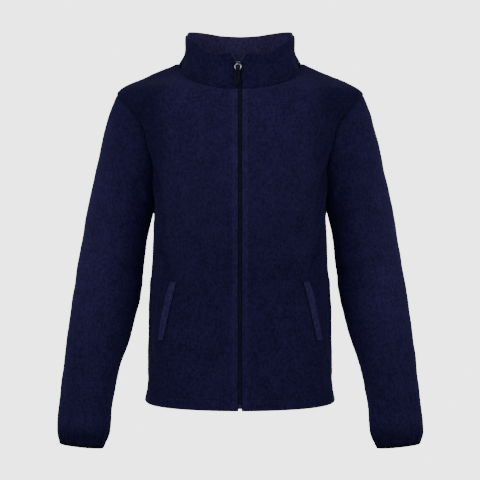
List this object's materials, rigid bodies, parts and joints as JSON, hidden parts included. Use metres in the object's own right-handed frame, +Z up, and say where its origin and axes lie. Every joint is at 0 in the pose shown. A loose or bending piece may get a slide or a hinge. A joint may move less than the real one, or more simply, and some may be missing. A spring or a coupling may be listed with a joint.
{
  "type": "fleece zip jacket",
  "caption": "Long-sleeved fleece jacket with a stand collar, full-length front zip, slanted welt pockets, turned hem and bound cuffs, hollow in its worn form.",
  "frame": {"origin": "the middle of the neck's base inside the jacket, level with the highest points of the shoulders", "axes": "+Z up towards the collar, -Y towards the front with the zip, +X towards a viewer's right when facing the front"},
  "size_m": [0.705, 0.2572, 0.8102],
  "materials": {
    "fleece": "brushed microfleece, dark navy",
    "trim_cloth": "woven, matt, near-black navy",
    "zip_teeth": "moulded, satin, near-black navy",
    "slider_paint": "baked enamel, near-black navy",
    "steel": "bright plated",
    "grip": "soft moulded, dark navy"
  },
  "bodies": {
    "jacket": {"front_left": "fleece", "front_right": "fleece", "back": "fleece", "sleeve_left": "fleece", "sleeve_right": "fleece", "collar": "fleece", "pocket_welt_left": "fleece", "pocket_welt_right": "fleece", "pocket_bag_left": "trim_cloth", "pocket_bag_right": "trim_cloth", "cuff_left": "trim_cloth", "cuff_right": "trim_cloth", "zip_tape_left": "trim_cloth", "zip_tape_right": "trim_cloth", "zip_chain": "zip_teeth", "zip_top_left": "zip_teeth", "zip_top_right": "zip_teeth", "zip_box": "zip_teeth", "zip_slider": "slider_paint"},
    "pull": {"pull_ring": "steel", "pull_tab": "grip"}
  },
  "joints": [
    {"name": "pull_swing", "type": "hinge", "parent": "jacket", "child": "pull", "pos_m": [-0.0035, -0.09467, -0.015], "axis": [-1, 0, 0], "range_deg": [0, 150]}
  ]
}
